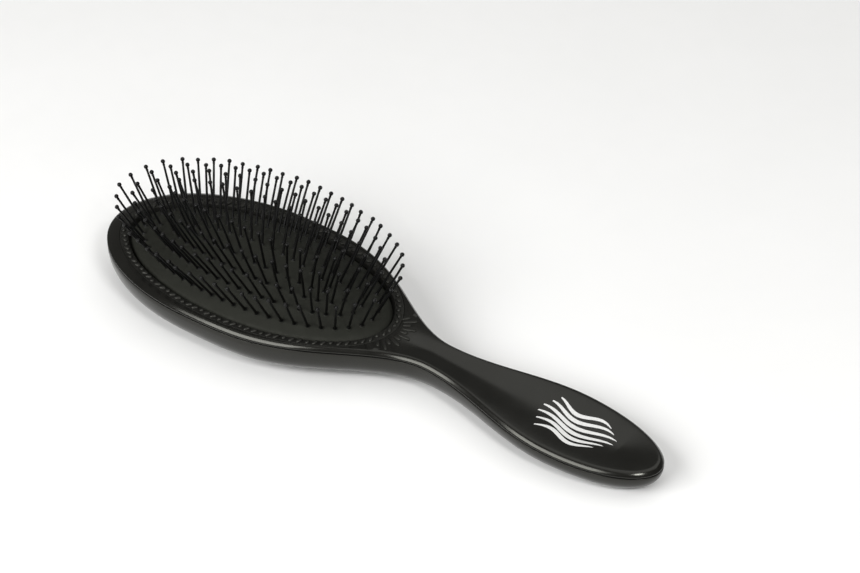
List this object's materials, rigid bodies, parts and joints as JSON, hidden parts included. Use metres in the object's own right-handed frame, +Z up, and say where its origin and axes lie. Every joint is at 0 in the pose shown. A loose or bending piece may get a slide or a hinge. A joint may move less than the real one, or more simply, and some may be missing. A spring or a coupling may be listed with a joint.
{
  "type": "paddle hair brush",
  "caption": "Oval hair brush with a narrow waisted neck and a rounded handle; leaning nylon pins with ball tips stand in a domed rubber cushion.",
  "frame": {"origin": "on the surface the brush lies on, under the middle of its length and width", "axes": "+X from the head to the end of the handle, +Z up, the way the pins point; the brush lies on its back"},
  "size_m": [0.2234, 0.067, 0.0408],
  "materials": {
    "shell_plastic": "satin black, smooth, with a soft highlight",
    "frame_plastic": "satin black with a raised pattern",
    "pad_rubber": "matt dark grey rubber",
    "plate_plastic": "plain moulded plastic",
    "pin_nylon": "smooth black nylon"
  },
  "bodies": {
    "handle_and_head": {"front_shell": "shell_plastic", "back_shell": "shell_plastic", "retaining_frame": "frame_plastic", "cushion": "pad_rubber", "backing_plate": "plate_plastic"},
    "pins_outer_ends": {"pins_outer_1": "pin_nylon", "pins_outer_4": "pin_nylon", "pins_outer_5": "pin_nylon", "pins_outer_8": "pin_nylon"},
    "pins_outer_sides": {"pins_outer_2": "pin_nylon", "pins_outer_3": "pin_nylon", "pins_outer_6": "pin_nylon", "pins_outer_7": "pin_nylon"},
    "pins_second_ends": {"pins_second_1": "pin_nylon", "pins_second_4": "pin_nylon", "pins_second_5": "pin_nylon", "pins_second_8": "pin_nylon"},
    "pins_second_sides": {"pins_second_2": "pin_nylon", "pins_second_3": "pin_nylon", "pins_second_6": "pin_nylon", "pins_second_7": "pin_nylon"},
    "pins_third_ends": {"pins_third_1": "pin_nylon", "pins_third_4": "pin_nylon", "pins_third_5": "pin_nylon", "pins_third_8": "pin_nylon"},
    "pins_third_sides": {"pins_third_2": "pin_nylon", "pins_third_3": "pin_nylon", "pins_third_6": "pin_nylon", "pins_third_7": "pin_nylon"},
    "pins_inner_ends": {"pins_inner_1": "pin_nylon", "pins_inner_4": "pin_nylon", "pins_inner_5": "pin_nylon", "pins_inner_8": "pin_nylon"},
    "pins_inner_sides": {"pins_inner_2": "pin_nylon", "pins_inner_3": "pin_nylon", "pins_inner_6": "pin_nylon", "pins_inner_7": "pin_nylon"}
  },
  "joints": [
    {"name": "press_inner_sides", "type": "slide", "parent": "handle_and_head", "child": "pins_inner_sides", "axis": [0, 0, -1], "range_m": [0, 0.003], "stiffness_N_per_m": 1000, "deforming": ["cushion"]},
    {"name": "press_outer_ends", "type": "slide", "parent": "handle_and_head", "child": "pins_outer_ends", "axis": [0, 0, -1], "range_m": [0, 0.00076], "stiffness_N_per_m": 1000},
    {"name": "press_outer_sides", "type": "slide", "parent": "handle_and_head", "child": "pins_outer_sides", "axis": [0, 0, -1], "range_m": [0, 0.00106], "stiffness_N_per_m": 1000},
    {"name": "press_second_ends", "type": "slide", "parent": "handle_and_head", "child": "pins_second_ends", "axis": [0, 0, -1], "range_m": [0, 0.00149], "stiffness_N_per_m": 1000},
    {"name": "press_second_sides", "type": "slide", "parent": "handle_and_head", "child": "pins_second_sides", "axis": [0, 0, -1], "range_m": [0, 0.002], "stiffness_N_per_m": 1000},
    {"name": "press_third_ends", "type": "slide", "parent": "handle_and_head", "child": "pins_third_ends", "axis": [0, 0, -1], "range_m": [0, 0.00208], "stiffness_N_per_m": 1000},
    {"name": "press_third_sides", "type": "slide", "parent": "handle_and_head", "child": "pins_third_sides", "axis": [0, 0, -1], "range_m": [0, 0.00265], "stiffness_N_per_m": 1000},
    {"name": "press_inner_ends", "type": "slide", "parent": "handle_and_head", "child": "pins_inner_ends", "axis": [0, 0, -1], "range_m": [0, 0.00252], "stiffness_N_per_m": 1000}
  ],
  "couplings": [
    {"joint": "press_outer_ends", "follows": "press_inner_sides", "ratio": 0.245},
    {"joint": "press_outer_sides", "follows": "press_inner_sides", "ratio": 0.346},
    {"joint": "press_second_ends", "follows": "press_inner_sides", "ratio": 0.489},
    {"joint": "press_second_sides", "follows": "press_inner_sides", "ratio": 0.659},
    {"joint": "press_third_ends", "follows": "press_inner_sides", "ratio": 0.687},
    {"joint": "press_third_sides", "follows": "press_inner_sides", "ratio": 0.878},
    {"joint": "press_inner_ends", "follows": "press_inner_sides", "ratio": 0.834}
  ]
}
